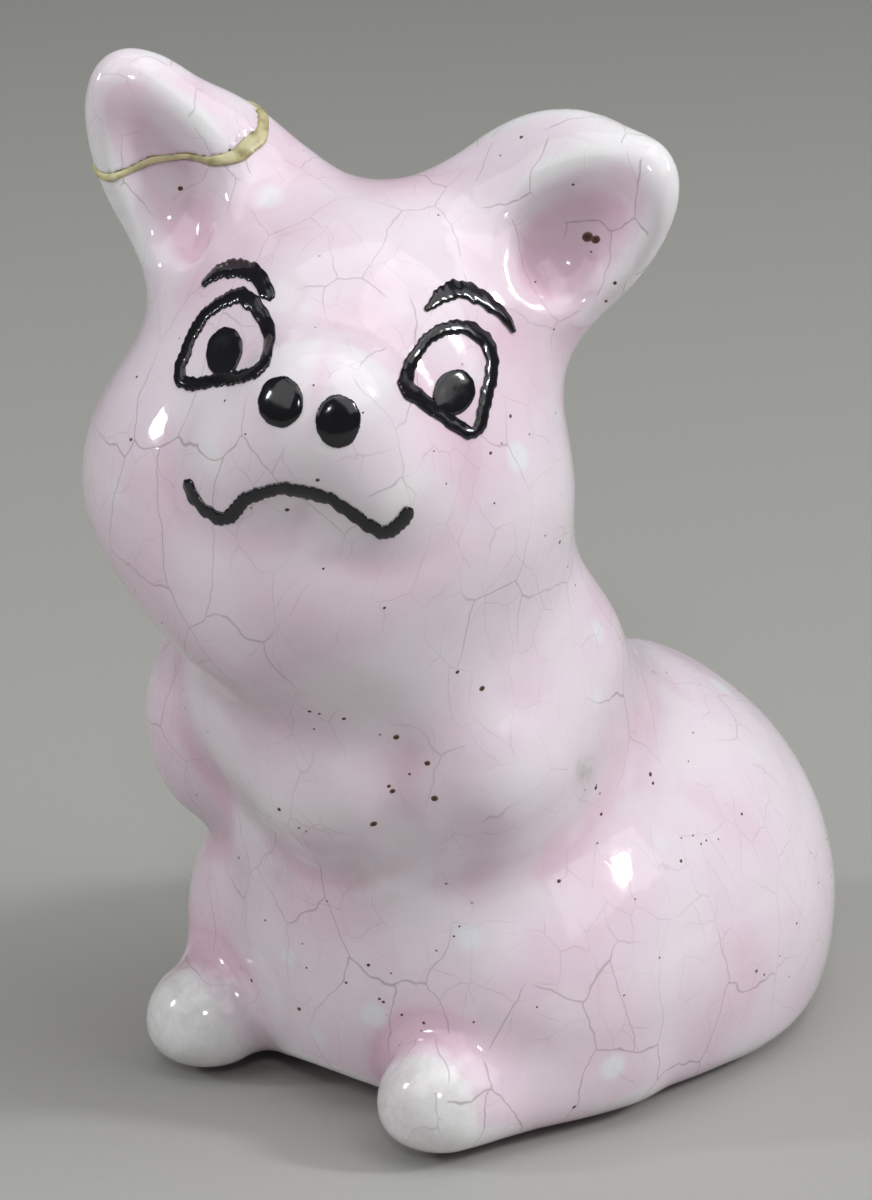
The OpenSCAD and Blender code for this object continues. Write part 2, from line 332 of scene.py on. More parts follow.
class Pig:
    """The pig's masses, at the sizes that the settings give."""

    def __init__(self, sizes):
        self.head = (
            turn_z(sizes.head_turn) @ turn_x(-sizes.head_lift) @ turn_y(sizes.head_tip)
        )
        self.ears = {
            side: turn_z(-side * EAR_TOE) @ turn_y(side * EAR_LEAN[side]) @ turn_x(EAR_BACK)
            for side in (-1, 1)
        }
        self.wall = sizes.wall / MM
        self.slot = (sizes.slot_length / MM, sizes.slot_width / MM)
        self.hole = sizes.base_hole / 2 / MM
        self.recess = sizes.base_recess / 2 / MM
        self.ring = (sizes.ring / 2 / MM, sizes.ring_height / MM)

    def in_head(self, p):
        """Points of the pig in the head's own frame, with the nose along -Y."""
        return (p - HEAD_AT) @ self.head

    def from_head(self, q):
        return q @ self.head.T + HEAD_AT

    def in_ear(self, q, side):
        """Points of the head in an ear's frame, with the ear along Z."""
        return (q - EAR_ROOT[side]) @ self.ears[side]

    def above_break(self, p):
        """Height over the break in the right ear."""
        e = self.in_ear(self.in_head(p), -1)
        ragged = BREAK_ROUGH * np.sin(1.3 * e[:, 0] + 0.6) * np.cos(1.1 * e[:, 1])
        return (e - [0, 0, BREAK_Z]) @ BREAK_NORMAL + ragged

    def trunk(self, p):
        """Belly, rump, chest and withers, then both thighs."""
        f = fold(p)
        d = egg(p, (0, -6.5, 19), (21, 20, 27))
        d = join(d, egg(p, (0, 12, 12), (29, 30, 28)), 10)
        d = join(d, egg(p, (0, -12.5, 39), (18, 15, 18)), 8)
        d = join(d, egg(p, (0, -3.5, 37), (18, 17, 18)), 8)
        return join(d, egg(f, (16.5, -3.5, 13), (11.5, 18, 15)), 6)

    def limbs(self, p, near):
        """Throat, left foreleg, right elbow, right foreleg, then both feet."""
        f = fold(p)
        d = join(near, egg(p, (3, -16.5, 47), (14, 12.5, 11)), 5)
        d = join(d, limb(p, (10, -6, 45.5), (13.2, -16, 38.5), 9.8, 9.2), 5)
        d = join(d, egg(p, (-18, -17, 36), (8, 9, 12)), 3.5)
        d = join(d, limb(p, (-8.5, -19, 41), (3, -22.4, 37.3), 10.2, 10.2), 2.5)
        return join(d, limb(f, (19, -5.5, 6), (15.6, -23.7, 5.2), 7.6, 6.1), 3)

    def tail(self, p, near):
        """A curl of one and a bit turns, pressed on the rump and thinning to its tip."""
        turns = np.linspace(0, 2 * math.pi * 1.15, 18)
        reach = 4.4 - 0.36 * turns
        curl = np.stack([reach * np.cos(turns), 0 * turns, reach * np.sin(turns)], 1)
        curl = curl @ turn_x(math.radians(18)).T + [0, 40.9, 21]
        thick = 1.9 - 0.11 * turns
        close = np.abs(p - [0, 41, 20]).max(1) < 9
        d = near.copy()
        if close.any():
            q = p[close]
            bead = np.min(
                [limb(q, curl[i], curl[i + 1], thick[i], thick[i + 1]) for i in range(17)], 0
            )
            d[close] = join(near[close], bead, 1.2)
        return d

    def skull(self, q):
        """Crown, cheeks and chin, then the nose and lips in front of them."""
        f = fold(q)
        d = egg(q, (0.6, 1, 3), (19.2, 20, 20.5))
        d = join(d, egg(f, (11.5, -1, -6), (12, 14, 12.5)), 8)
        d = join(d, egg(q, (0, -7, -13), (14, 13, 13)), 9)
        lips = fold(q - [0.8, 0, 0])
        muzzle = limb(q, (0.8, -10, 3.5), (0.8, -18.4, 3.4), 8, 6)
        muzzle = join(muzzle, limb(lips, (1.2, -17.6, 3), (5, -15.6, -1.4), 6.2, 6), 5)
        muzzle = join(muzzle, limb(lips, (0, -18.2, -0.2), (5.6, -16.4, -2.6), 5.2, 5.2), 5)
        return join(d, muzzle, 3)

    def ear(self, q, side):
        """A leaf on its root, with a cup pressed into its front."""
        e = self.in_ear(q, side)
        if side < 0:
            d = egg(e, (-0.5, 0, 8), (7.3, 4.8, 14.8))
            d = join(d, egg(e, (4.2, 1, 2.6), (6.7, 5, 11.5)), 4)
            return carve(d, egg(e, (-3, -5.9, 9.5), (5.2, 4.9, 11)), 3)
        d = egg(e, (-0.5, 0, 8.2), (7.9, 4.8, 14.8))
        d = join(d, egg(e, (-5.5, 1, 6), (8, 5, 13)), 4)
        return carve(d, egg(e, (2, -5.4, 12.2), (5.8, 5.2, 8)), 3)

    def skin(self, p):
        """The outside of the pig, before any opening is cut."""
        q = self.in_head(p)
        body = self.tail(p, self.limbs(p, self.trunk(p)))
        head = join(self.skull(q), self.ear(q, -1), 8)
        head = join(head, self.ear(q, 1), 8)
        d = carve(join(body, head, 8), p[:, 2] - self.ring[1], 4)
        return carve(d, egg(p, (0, -22, -1), (9, 14, 4.5)), 2)

    def hollow(self, p):
        """The inside of the casting, one wall further in."""
        d = join(self.trunk(p), self.skull(self.in_head(p)), 8) + self.wall
        return carve(d, p[:, 2] - RECESS_DEPTH - self.wall, 3)

    def coin_slot(self, p):
        """The cutter for the slot, a long hole with round ends."""
        q = (p - SLOT_AT) @ turn_x(-SLOT_SLOPE)
        length, width = self.slot
        beyond = np.maximum(np.abs(q[:, 1]) - (length - width) / 2, 0)
        walls = np.sqrt(q[:, 0] ** 2 + beyond**2) - width / 2
        return np.maximum(walls, np.abs(q[:, 2] - 3) - 17)

    def foot_ring(self, p):
        """The low round pad that the pig stands on."""
        out = np.sqrt(((p - BORE_AT)[:, :2] ** 2).sum(1))
        radius, height = self.ring
        return np.maximum(np.maximum(out - radius, -p[:, 2]), p[:, 2] - height - 2)

    def base_opening(self, p):
        """The cutter for the round hole and the recess round it."""
        out = np.sqrt(((p - BORE_AT)[:, :2] ** 2).sum(1))
        hole = np.maximum(out - self.hole, p[:, 2] - 14)
        return np.minimum(hole, np.maximum(out - self.recess, p[:, 2] - RECESS_DEPTH))

    def casting(self, p):
        """The shell as it left the kiln, less the ear tip that broke off."""
        d = np.minimum(self.skin(p), self.foot_ring(p))
        d = carve(d, self.hollow(p), 1)
        d = carve(d, self.coin_slot(p), 1.2)
        d = carve(d, self.base_opening(p), 0.8)
        return np.maximum(d, self.above_break(p) + BREAK_GAP)

    def ear_fragment(self, p):
        return np.maximum(self.skin(p), BREAK_GAP - self.above_break(p))


def slope_of(field, p, reach):
    """The direction in which a field grows, and how fast it bends."""
    steps = np.eye(3) * reach
    rise = [(field(p + s), field(p - s)) for s in steps]
    lean = np.stack([(a - b) for a, b in rise], 1) / (2 * reach)
    bend = (sum(a + b for a, b in rise) - 6 * field(p)) / reach**2
    return lean, bend


def settle(field, p, rounds=3):
    """Moves points straight onto a surface."""
    for _ in range(rounds):
        lean, _bend = slope_of(field, p, 0.05)
        speed = np.maximum((lean * lean).sum(1), 0.05)
        p = p - lean * (field(p) / speed)[:, None]
    return p


# ---- A closed net over a mass -----------------------------------------------
# Grid cells along the side of a block of the coarse first pass
BLOCK = 4
# Net sizes of the pieces without a setting for it, in millimetres
EAR_NET = 0.4
GLUE_NET = 0.2
STOPPER_NET = 0.4


def sample(field, low, shape, step):
    """A field on a grid, worked out in full only near its surface."""
    blocks = [-(-n // BLOCK) for n in shape]
    middle = (BLOCK - 1) / 2
    axes = [low[i] + step * (BLOCK * np.arange(blocks[i]) + middle) for i in range(3)]
    coarse = field(np.stack(np.meshgrid(*axes, indexing="ij"), -1).reshape(-1, 3))
    coarse = coarse.reshape(blocks)
    fine = coarse.repeat(BLOCK, 0).repeat(BLOCK, 1).repeat(BLOCK, 2)
    close = np.argwhere(np.abs(fine) < 3.6 * step)
    fine[tuple(close.T)] = field(low + step * close)
    return fine


def net_over(field, low, high, step):
    """One point in each grid cell that the surface passes through, one quad across
    each grid edge that it crosses, and the points pulled onto the surface."""
    low = np.array(low, float)
    shape = [int(math.ceil((high[i] - low[i]) / step)) + 1 for i in range(3)]
    value = sample(field, low, shape, step)
    inside = value < 0
    n = [s - 1 for s in value.shape]
    corner = [
        tuple(slice(o[i], o[i] + n[i]) for i in range(3))
        for o in np.ndindex(2, 2, 2)
    ]
    filled = sum(inside[c].astype(np.int8) for c in corner)
    cells = np.argwhere((filled > 0) & (filled < 8))
    number = np.full(n, -1)
    number[tuple(cells.T)] = np.arange(len(cells))

    quads = []
    for axis in range(3):
        u, v = (axis + 1) % 3, (axis + 2) % 3
        here, there = [slice(0, m) for m in n], [slice(0, m) for m in n]
        there[axis] = slice(1, n[axis] + 1)
        crossed = inside[tuple(here)] != inside[tuple(there)]
        edge = np.argwhere(crossed)
        edge = edge[(edge[:, u] > 0) & (edge[:, v] > 0)]
        ring = []
        for du, dv in ((-1, -1), (0, -1), (0, 0), (-1, 0)):
            cell = edge.copy()
            cell[:, u] += du
            cell[:, v] += dv
            ring.append(number[tuple(cell.T)])
        quad = np.stack(ring, 1)
        outward = inside[tuple(edge.T)]
        quad[~outward] = quad[~outward][:, ::-1]
        quads.append(quad)
    quads = np.concatenate(quads)

    points = low + step * (cells + 0.5)
    corners = np.stack([value[c][tuple(cells.T)] for c in corner], 1)
    signs = np.array(list(np.ndindex(2, 2, 2))) * 2 - 1
    lean = corners @ signs / (4 * step)
    pull = -corners.mean(1)[:, None] * lean / np.maximum((lean**2).sum(1), 0.05)[:, None]
    points = points + np.clip(pull, -0.49 * step, 0.49 * step)
    moved = settle(field, points, 2) - points
    return points + np.clip(moved, -0.3 * step, 0.3 * step), quads


def mesh_object(name, points, faces, material):
    """A mesh at its place, in metres, from points in millimetres."""
    mesh = bpy.data.meshes.new(name)
    mesh.from_pydata((points * MM).tolist(), [], faces.tolist())
    mesh.materials.append(material)
    mesh.shade_smooth()
    mesh.update()
    piece = bpy.data.objects.new(name, mesh)
    bpy.context.scene.collection.objects.link(piece)
    return piece


def mark_points(mesh, name, values):
    """Stores one number or one vector a point, for a material to read."""
    values = np.asarray(values, np.float32)
    kind, key = ("FLOAT_VECTOR", "vector") if values.ndim == 2 else ("FLOAT", "value")
    mesh.attributes.new(name, kind, "POINT").data.foreach_set(key, values.ravel())


def smooth_step(low, high, x):
    t = np.clip((x - low) / (high - low), 0, 1)
    return t * t * (3 - 2 * t)


def waves(points, size, seed=0.0):
    """Slow noise from -1 to 1, with features of a size in millimetres."""
    shift = Vector((seed, 2 * seed, 3 * seed))
    return np.array([noise.noise(Vector(p) / size + shift) for p in points])


# ---- Materials --------------------------------------------------------------
def add(tree, kind, inputs=None, **settings):
    """Adds a node with its settings, and sets or links its inputs."""
    node = tree.nodes.new(kind)
    for key, value in settings.items():
        setattr(node, key, value)
    for key, value in (inputs or {}).items():
        if isinstance(value, bpy.types.NodeSocket):
            tree.links.new(value, node.inputs[key])
        else:
            node.inputs[key].default_value = value
    return node


def blend(tree, amount, one, other):
    """A colour between two, from the first at 0 to the second at 1."""
    mix = add(tree, "ShaderNodeMix", {0: amount, 6: one, 7: other}, data_type="RGBA")
    return mix.outputs[2]


def remap(tree, value, given, wanted=(0, 1)):
    """A value moved from one range to another, and held within it."""
    ranges = {"From Min": given[0], "From Max": given[1], "To Min": wanted[0], "To Max": wanted[1]}
    return add(tree, "ShaderNodeMapRange", {"Value": value, **ranges}).outputs[0]


def cloud(tree, at, scale, detail, rough=0.5):
    """Soft noise, with the scale in features a metre."""
    inputs = {"Vector": at, "Scale": scale, "Detail": detail, "Roughness": rough}
    return add(tree, "ShaderNodeTexNoise", inputs).outputs[0]


def new_material(name):
    material = bpy.data.materials.new(name)
    material.use_nodes = True
    material.node_tree.nodes.clear()
    return material, material.node_tree


def coloured(colour):
    return (*colour, 1)


def glazed_earthenware(look):
    """Lead glaze over white slip-cast earthenware, fired once too hot: mirror gloss,
    pink where it pooled, white where it ran thin, and crazed all over."""
    material, tree = new_material("glazed_earthenware")
    at = add(tree, "ShaderNodeTexCoord").outputs["Object"]
    pooled = add(tree, "ShaderNodeAttribute", attribute_name="pooled").outputs["Fac"]
    thin = add(tree, "ShaderNodeAttribute", attribute_name="thin").outputs["Fac"]
    # The mask read here is painted shade in the creases near the floor and round the toes
    crease_shade = add(tree, "ShaderNodeAttribute", attribute_name="crease_shade").outputs["Fac"]
    bare = add(tree, "ShaderNodeAttribute", attribute_name="bare").outputs["Fac"]

    # Clouds in the glaze about 14 mm across
    clouds = cloud(tree, at, 70, 4)
    cloudy = remap(tree, clouds, (0.38, 0.66), (-0.3, 0.5))
    pinkness = add(tree, "ShaderNodeMath", {0: pooled, 1: cloudy}, operation="ADD", use_clamp=True)
    colour = blend(tree, pinkness.outputs[0], coloured(look.body), coloured(look.pooled))
    whiter = add(tree, "ShaderNodeMath", {0: thin, 1: cloudy}, operation="SUBTRACT", use_clamp=True)
    colour = blend(tree, whiter.outputs[0], colour, coloured(look.thin))

    # Milky spots about 2 mm across where the glaze curdled, in patches
    spot = add(
        tree, "ShaderNodeTexVoronoi", {"Vector": at, "Scale": 105, "Randomness": 1},
    ).outputs["Distance"]
    spot = remap(tree, spot, (0.19, 0.1), (0, 0.8))
    patch = cloud(tree, at, 48, 1)
    patch = remap(tree, patch, (0.44, 0.54))
    milky = add(tree, "ShaderNodeMath", {0: spot, 1: patch}, operation="MULTIPLY").outputs[0]
    colour = blend(tree, milky, colour, coloured(linear("#e8ebf1")))

    # Craze lines: cell walls of a warped pattern, hair thin, coming and going
    flat_at = add(tree, "ShaderNodeAttribute", attribute_name="craze_at").outputs["Vector"]
    unbroken = add(tree, "ShaderNodeAttribute", attribute_name="craze_whole").outputs["Fac"]
    warp = add(tree, "ShaderNodeTexNoise", {"Vector": at, "Scale": 120, "Detail": 3}).outputs[1]
    warped = add(
        tree, "ShaderNodeVectorMath", {0: warp, 1: (0.0042,) * 3, 2: flat_at},
        operation="MULTIPLY_ADD",
    ).outputs[0]
    crack = None
    for cells, width, strength in ((1, 0.012, 0.62), (2.3, 0.018, 0.26)):
        scale = cells / look.crack_spacing
        wall = add(
            tree, "ShaderNodeTexVoronoi", {"Vector": warped, "Scale": scale},
            feature="DISTANCE_TO_EDGE", voronoi_dimensions="2D",
        ).outputs["Distance"]
        line = remap(tree, wall, (width, 0.25 * width), (0, strength))
        shown = cloud(tree, at, 0.45 * scale, 1)
        shown = remap(tree, shown, (0.4, 0.6))
        line = add(tree, "ShaderNodeMath", {0: line, 1: shown}, operation="MULTIPLY").outputs[0]
        if crack:
            line = add(tree, "ShaderNodeMath", {0: crack, 1: line}, operation="MAXIMUM").outputs[0]
        crack = line
    crack = add(tree, "ShaderNodeMath", {0: crack, 1: unbroken}, operation="MULTIPLY").outputs[0]
    colour = blend(tree, crack, colour, coloured(linear("#a4949a")))

    # Dust-fine iron specks, under a third of a millimetre
    dust = add(tree, "ShaderNodeTexVoronoi", {"Vector": at, "Scale": 300}).outputs["Distance"]
    dust = remap(tree, dust, (0.055, 0.03), (0, 0.5))
    dusty = cloud(tree, at, 85, 2)
    dusty = remap(tree, dusty, (0.52, 0.6))
    dust = add(tree, "ShaderNodeMath", {0: dust, 1: dusty}, operation="MULTIPLY").outputs[0]
    colour = blend(tree, dust, colour, coloured(linear("#6b5048")))

    # Painted shade: darkens the creases and toes towards a greenish grey, broken up by noise, and
    # dulls the gloss there
    shade_breakup = cloud(tree, at, 420, 5, 0.7)
    shade_breakup = remap(tree, shade_breakup, (0.42, 0.72), (0.1, 0.5))
    shaded = add(tree, "ShaderNodeMath", {0: crease_shade, 1: shade_breakup}, operation="MULTIPLY").outputs[0]
    colour = blend(tree, shaded, colour, coloured(linear("#82876a")))

    # Unglazed clay inside, in the slot's throat and on the ring it stands on
    grain = cloud(tree, at, 900, 5)
    clay = blend(tree, grain, coloured(look.clay), coloured([0.72 * c for c in look.clay]))
    colour = blend(tree, bare, colour, clay)

    gloss = remap(tree, clouds, (0.35, 0.7), (0.05, 0.11))
    # Gloss is duller under the painted shade
    duller = add(tree, "ShaderNodeMath", {0: shaded, 1: 0.4, 2: gloss}, operation="MULTIPLY_ADD")
    rough = add(
        tree, "ShaderNodeMix", {0: bare, 2: duller.outputs[0], 3: 0.85}, data_type="FLOAT",
    ).outputs[0]

    # Orange peel about 1.2 mm across and the groove of each crack
    peel = cloud(tree, at, 800, 2)
    relief = add(
        tree, "ShaderNodeMath", {0: crack, 1: -0.35, 2: peel}, operation="MULTIPLY_ADD",
    ).outputs[0]
    bump = add(
        tree, "ShaderNodeBump", {"Height": relief, "Distance": 0.00003, "Strength": 0.5},
    ).outputs[0]
    surface = add(
        tree, "ShaderNodeBsdfPrincipled",
        {
            "Base Color": colour, "Roughness": rough, "Normal": bump, "IOR": 1.52,
        },
    )
    add(tree, "ShaderNodeOutputMaterial", {"Surface": surface.outputs[0]})
    return material


def brushed_enamel(look):
    """Black overglaze enamel laid thick with a brush: wet gloss, faintly blue, with
    the drag of the hairs in it."""
    material, tree = new_material("brushed_black_enamel")
    at = add(tree, "ShaderNodeTexCoord").outputs["Object"]
    drag = cloud(tree, at, 700, 3)
    colour = blend(tree, drag, coloured(look.colour), coloured([2.2 * c for c in look.colour]))
    rough = remap(tree, drag, (0, 1), (0.04, 0.2))
    bump = add(
        tree, "ShaderNodeBump", {"Height": drag, "Distance": 0.00005, "Strength": 0.3},
    ).outputs[0]
    surface = add(
        tree, "ShaderNodeBsdfPrincipled",
        {"Base Color": colour, "Roughness": rough, "Normal": bump, "IOR": 1.55},
    )
    add(tree, "ShaderNodeOutputMaterial", {"Surface": surface.outputs[0]})
    return material


def aged_glue(look):
    """Household adhesive gone yellow: waxy, slightly clear, dirt caught along it."""
    material, tree = new_material("aged_adhesive")
    at = add(tree, "ShaderNodeTexCoord").outputs["Object"]
    lumps = cloud(tree, at, 600, 4)
    stain = remap(tree, lumps, (0.42, 0.7))
    colour = blend(tree, stain, coloured(look.glue), coloured(linear("#8f8656")))
    bump = add(
        tree, "ShaderNodeBump", {"Height": lumps, "Distance": 0.0001, "Strength": 0.4},
    ).outputs[0]
    surface = add(
        tree, "ShaderNodeBsdfPrincipled",
        {
            "Base Color": colour, "Roughness": 0.32, "Normal": bump, "IOR": 1.47,
            "Subsurface Weight": 0.35, "Subsurface Scale": 0.0008,
        },
    )
    add(tree, "ShaderNodeOutputMaterial", {"Surface": surface.outputs[0]})
    return material


def burnt_iron():
    """Iron specks that boiled through the glaze: black pit, rust-brown rim."""
    material, tree = new_material("burnt_iron_speck")
    rim = add(tree, "ShaderNodeAttribute", attribute_name="rim").outputs["Fac"]
    colour = blend(tree, rim, coloured(linear("#3a2219")), coloured(linear("#8c6a55")))
    surface = add(tree, "ShaderNodeBsdfPrincipled", {"Base Color": colour, "Roughness": 0.35})
    add(tree, "ShaderNodeOutputMaterial", {"Surface": surface.outputs[0]})
    return material


def moulded_rubber():
    """Grey moulded rubber: matt with a soft bloom and a fine grain."""
    material, tree = new_material("moulded_grey_rubber")
    at = add(tree, "ShaderNodeTexCoord").outputs["Object"]
    bloom = cloud(tree, at, 160, 6)
    bloom = remap(tree, bloom, (0.4, 0.7))
    colour = blend(tree, bloom, coloured(linear("#5f5a54")), coloured(linear("#8b857c")))
    grain = cloud(tree, at, 2500, 2)
    bump = add(
        tree, "ShaderNodeBump", {"Height": grain, "Distance": 0.00005, "Strength": 0.5},
    ).outputs[0]
    rough = add(tree, "ShaderNodeMapRange", {"Value": bloom, "To Min": 0.55, "To Max": 0.8})
    surface = add(
        tree, "ShaderNodeBsdfPrincipled",
        {"Base Color": colour, "Roughness": rough.outputs[0], "Normal": bump, "IOR": 1.5},
    )
    add(tree, "ShaderNodeOutputMaterial", {"Surface": surface.outputs[0]})
    return material


def seamless_paper(colour):
    """Matt studio paper under and behind the pig."""
    material, tree = new_material("studio_paper")
    at = add(tree, "ShaderNodeTexCoord").outputs["Object"]
    fibre = cloud(tree, at, 900, 4)
    paper = blend(tree, fibre, coloured(colour), coloured([0.94 * c for c in colour]))
    surface = add(tree, "ShaderNodeBsdfPrincipled", {"Base Color": paper, "Roughness": 0.7})
    add(tree, "ShaderNodeOutputMaterial", {"Surface": surface.outputs[0]})
    return material


def once(name, make, *args):
    """A material by name, made the first time that it is asked for."""
    return bpy.data.materials.get(name) or make(*args)


# ---- Shell and ear ----------------------------------------------------------
# Places of painted shade, at the toes, under the forelegs and in the creases: the place, how far it
# reaches and how strong it is
SHADE_PLACES = [
    ((15.6, -25, 6), 8, 0.9), ((-15.6, -25, 6), 8, 1.0), ((12, -20, 9), 5, 0.7),
    ((21, -9.5, 36.5), 3.5, 1.0), ((-3, -26, 26), 4, 0.5), ((8, -25, 25.5), 5, 0.5),
]
# Painted shade in the creases fades out by 1.6 times this height above the floor, in millimetres
SHADE_HEIGHT = 8


def weather(piece, pig, points):
    """Where the glaze pooled or ran thin, where painted shade lies in the creases and round the toes,
    and where the glaze is missing.
    """
    mesh = piece.data
    _lean, fine = slope_of(pig.skin, points, 1.2)
    _lean, broad = slope_of(pig.skin, points, 3.0)
    bend = (fine + broad) / 2
    mark_points(mesh, "pooled", 0.85 * smooth_step(0.05, -0.2, bend))
    mark_points(mesh, "thin", smooth_step(0.13, 0.32, bend))
    # Painted shade: darker in the creases low on the pig, and round the listed places
    crease_shade = 0.35 * smooth_step(-0.05, -0.4, fine) * smooth_step(1.6 * SHADE_HEIGHT, 0, points[:, 2])
    for place, reach, amount in SHADE_PLACES:
        away = np.linalg.norm(points - place, axis=1)
        crease_shade = np.maximum(crease_shade, amount * smooth_step(reach, 0.3 * reach, away))
    mark_points(mesh, "crease_shade", crease_shade)

    # Craze lines lie in the plane that each part faces, and stop where it changes
    faced = np.abs(slope_of(pig.skin, points, 0.8)[0])
    axis = faced.argmax(1)
    rank = np.sort(faced, 1)
    mark_points(mesh, "craze_whole", smooth_step(0.01, 0.09, rank[:, 2] - rank[:, 1]))
    upright = points * [1, 1, 0.62]
    plane = np.stack([upright[range(len(points)), (axis + k) % 3] for k in (1, 2)], 1)
    shift = 150.0 * (axis + 1)[:, None]
    mark_points(mesh, "craze_at", np.column_stack([plane + shift, 0 * axis]) * MM)

    buried = smooth_step(-1.2, -2.4, pig.skin(points))
    foot = smooth_step(0.5, 0.25, points[:, 2])
    mark_points(mesh, "bare", np.maximum(buried, foot))


def ripple(points, pig, height):
    """Slow waves in the glaze, so that its highlights break up as real ones do."""
    lean, _bend = slope_of(pig.skin, points, 0.4)
    lean /= np.maximum(np.linalg.norm(lean, axis=1), 1e-6)[:, None]
    rise = 0.7 * waves(points, 5.5) + 0.3 * waves(points, 2.2, 4.0)
    outside = smooth_step(-0.6, -0.1, pig.skin(points))
    return points + lean * (height * rise * outside)[:, None]


class PIGBANK_OT_shell(bpy.types.Operator):
    """Makes the glazed hollow shell with its slot, base hole and tail"""

    bl_idname = "pigbank.shell"
    bl_label = "Shell"

    def execute(self, context):
        sizes = context.scene.pig_casting
        pig = Pig(sizes)
        low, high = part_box("body_shell")
        margin = 2.5
        points, quads = net_over(
            pig.casting,
            np.array(low) / MM - margin,
            np.array(high) / MM + margin,
            sizes.net / MM,
        )
        shown = ripple(points, pig, sizes.ripple / MM)
        glaze = once("glazed_earthenware", glazed_earthenware, context.scene.pig_glaze)
        shell = mesh_object("shell", shown, quads, glaze)
        weather(shell, pig, points)
        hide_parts("body_shell")
        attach(shell, BANK)
        return {"FINISHED"}


class PIGBANK_OT_ear_fragment(bpy.types.Operator):
    """Makes the broken ear tip"""

    bl_idname = "pigbank.ear_fragment"
    bl_label = "Ear fragment"

    def execute(self, context):
        sizes = context.scene.pig_casting
        pig = Pig(sizes)
        low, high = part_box("ear_tip_right")
        points, quads = net_over(
            pig.ear_fragment, np.array(low) / MM - 2, np.array(high) / MM + 2, EAR_NET
        )
        shown = ripple(points, pig, sizes.ripple / MM)
        glaze = once("glazed_earthenware", glazed_earthenware, context.scene.pig_glaze)
        tip = mesh_object("ear_fragment", shown, quads, glaze)
        weather(tip, pig, points)
        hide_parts("ear_tip_right")
        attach(tip, BANK)
        return {"FINISHED"}


class PIGBANK_OT_glue(bpy.types.Operator):
    """Makes the glue in the break, with the bead squeezed out round it"""

    bl_idname = "pigbank.glue"
    bl_label = "Glue seam"

    def execute(self, context):
        pig = Pig(context.scene.pig_casting)
        low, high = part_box("glue_seam")

        def bead(p):
            across = pig.above_break(p)
            skin = pig.skin(p)
            x, y = p[:, 0], p[:, 1]
            uneven = np.sin(0.7 * x + 1.1 * y) + 0.6 * np.sin(1.9 * x - 1.3 * y)
            inner_side = smooth_step(-14, -9, p[:, 0])
            width = 0.3 + 0.04 * uneven + 0.24 * inner_side
            round_edge = np.sqrt((across / width) ** 2 + ((skin - 0.02) / 0.2) ** 2) - 1
            film = np.maximum(np.abs(across) - 0.22, skin)
            return np.minimum(0.2 * round_edge, film)

        low, high = np.array(low) / MM - 1.5, np.array(high) / MM + 1.5
        points, quads = net_over(bead, low, high, GLUE_NET)
        glue = mesh_object(
            "glue_bead", points, quads, once("aged_adhesive", aged_glue, context.scene.pig_glaze)
        )
        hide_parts("glue_seam")
        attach(glue, BANK)
        return {"FINISHED"}


# ---- Painted face -----------------------------------------------------------
# Brush lines by their points on the face: across, up and width, in millimetres
# in the head's frame, where the nose points along -Y
STROKES = {
    "brow_right": ([(-13.4, 12.3, 0.6), (-12, 13.7, 1.3), (-10, 14.4, 1.5), (-8, 14.1, 1.5),
                    (-6.4, 12.7, 1.2)], False),
    "brow_left": ([(8.3, 13.9, 0.6), (9.4, 15.3, 1.4), (10.6, 15.9, 1.5), (12.6, 15.4, 1.2),
                   (14.9, 14, 0.8), (15.9, 12.8, 0.4)], False),
    "eye_outline_right": ([(-13.2, 3.3, 1.1), (-13.4, 6.6, 1.1), (-12.2, 9.8, 1.1),
                           (-9.3, 12, 1.4), (-7.2, 11.2, 1.4), (-5.4, 9.4, 1.1),
                           (-5, 6.4, 1.1), (-8.8, 4.5, 1.1)], True),
    "eye_outline_left": ([(8.2, 6.8, 1.1), (8.1, 9.3, 1.0), (9.2, 11.5, 1.0), (11.3, 12.6, 1.2),
                          (13.3, 12, 1.1), (14.6, 10.2, 1.0), (14.9, 7, 1.0), (14.5, 3.3, 1.0),
                          (11.4, 4.7, 1.1)], True),
    "mouth_line": ([(-10.3, -5.6, 1.1), (-9.3, -7, 1.1), (-7, -8, 1.2), (-5.6, -7.4, 1.3),
                    (-4.8, -6, 1.1), (-3.4, -5, 1.1), (-1, -4, 1.1), (1.6, -4, 1.2),
                    (3.4, -4.2, 1.1), (5.6, -5.3, 1.2), (8, -6.5, 1.2), (9.3, -6.1, 1.1),
                    (10.4, -4.4, 1)], False),
}
# Solid ovals: across, up, width, height and lean
OVALS = {
    "pupil_right": (-9.5, 6.8, 3.6, 4.4, 0),
    "pupil_left": (12.1, 6.7, 3.4, 4.0, 0),
    "nostril_right": (-2.3, 3.9, 4.2, 4.4, 10),
    "nostril_left": (3.2, 3.1, 3.8, 4.6, 10),
}
CURVE_PARTS = 5
# Wet enamel runs wider than the brush
WET_SPREAD = 1.14


def smooth_path(points, closed):
    """A curve through given points, as close short steps."""
    pts = [np.array(p, float) for p in points]
    n = len(pts)
    path = []
    for i in range(n if closed else n - 1):
        a = pts[i - 1] if closed or i else pts[0]
        b, c = pts[i], pts[(i + 1) % n]
        d = pts[(i + 2) % n] if closed else pts[min(i + 2, n - 1)]
        for t in np.arange(CURVE_PARTS) / CURVE_PARTS:
            path.append((2 * b + (c - a) * t + (2 * a - 5 * b + 4 * c - d) * t**2
                         + (3 * b - a - 3 * c + d) * t**3) / 2)
    path.append(pts[0] if closed else pts[-1])
    return np.array(path)


